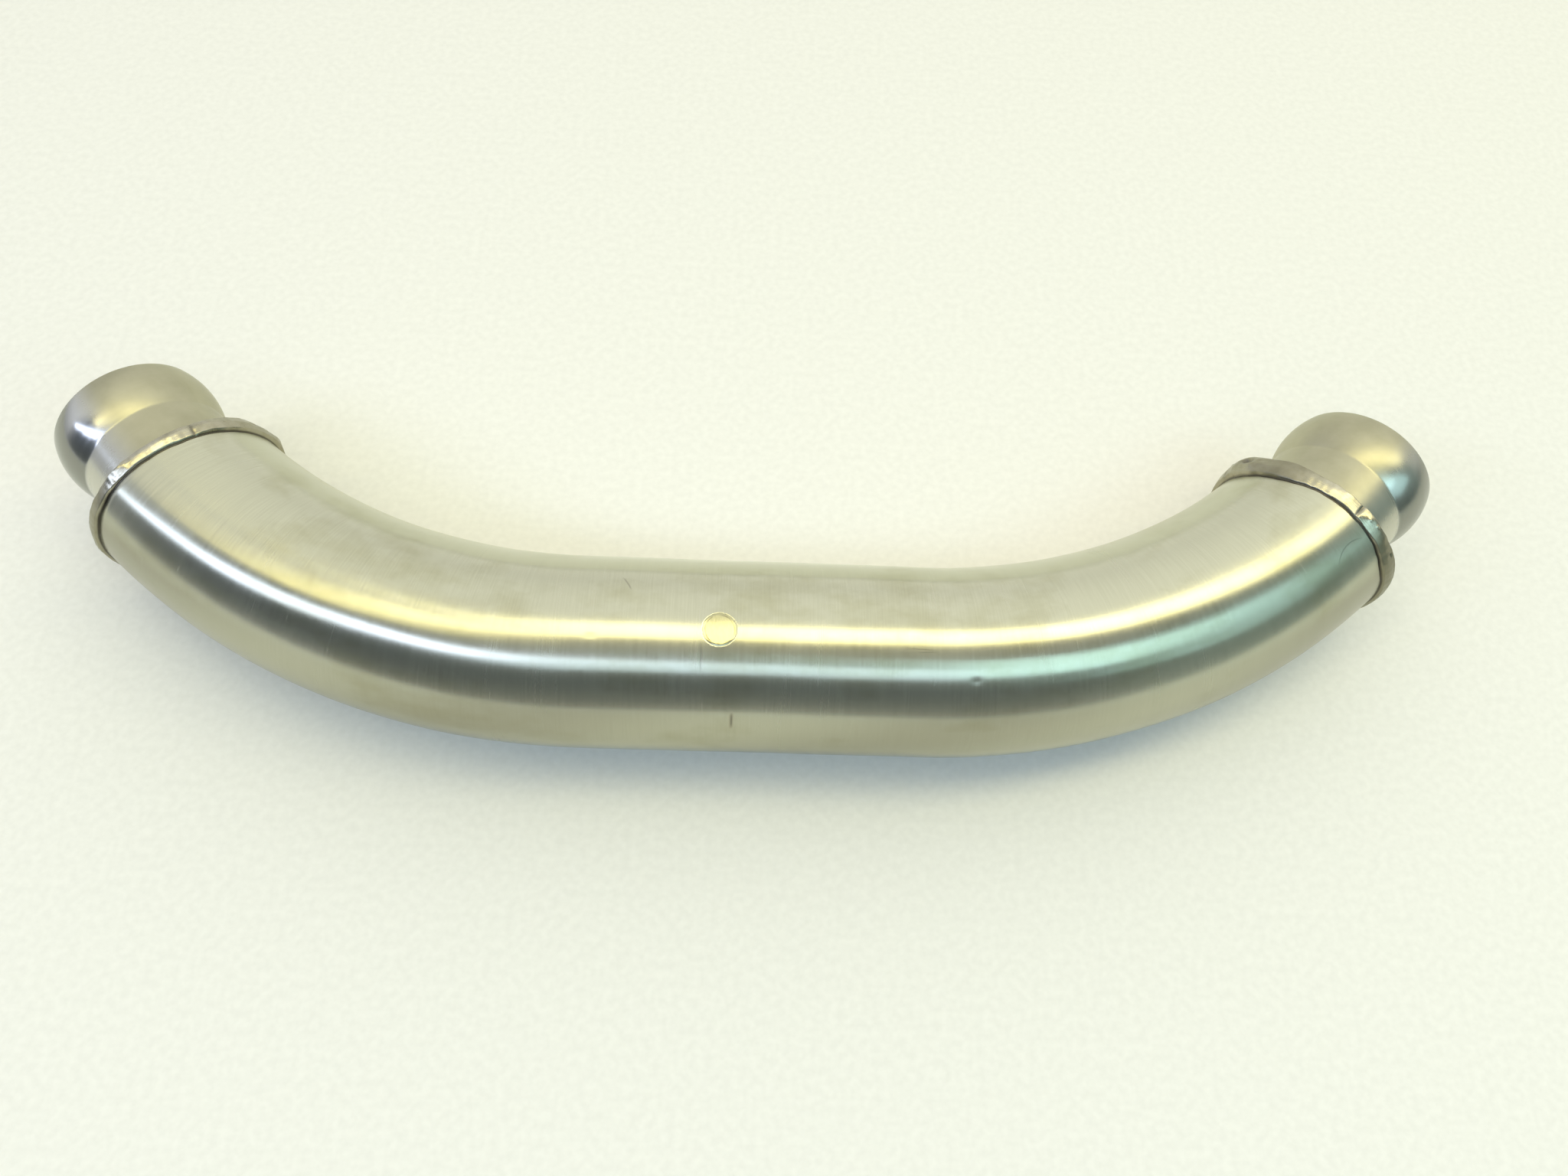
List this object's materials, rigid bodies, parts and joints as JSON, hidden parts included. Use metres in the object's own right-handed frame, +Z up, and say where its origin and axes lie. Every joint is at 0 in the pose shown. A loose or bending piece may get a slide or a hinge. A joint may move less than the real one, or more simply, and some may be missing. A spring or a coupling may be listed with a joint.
{
  "type": "motorcycle exhaust crossover pipe",
  "caption": "Bent brushed stainless exhaust crossover tube with a formed ball-joint end welded on at each side, for linking the two sides of a motorcycle exhaust.",
  "frame": {"origin": "under the middle of the whole pipe, at the level that it lies on", "axes": "+X along the straight run to the right end, +Y the way both ends turn, +Z up out of the level plane of the bends"},
  "size_m": [0.435, 0.1184, 0.0608],
  "materials": {
    "brushed_tube": "brushed round the tube",
    "satin_ball_end": "satin, as formed",
    "weld_metal": "as welded, lumpy",
    "dressed_weld": "dressed nearly flush"
  },
  "bodies": {
    "root": {"bent_tube": "brushed_tube", "left_ball_end": "satin_ball_end", "right_ball_end": "satin_ball_end", "left_weld_bead": "weld_metal", "right_weld_bead": "weld_metal", "plug_weld": "dressed_weld"}
  },
  "joints": []
}
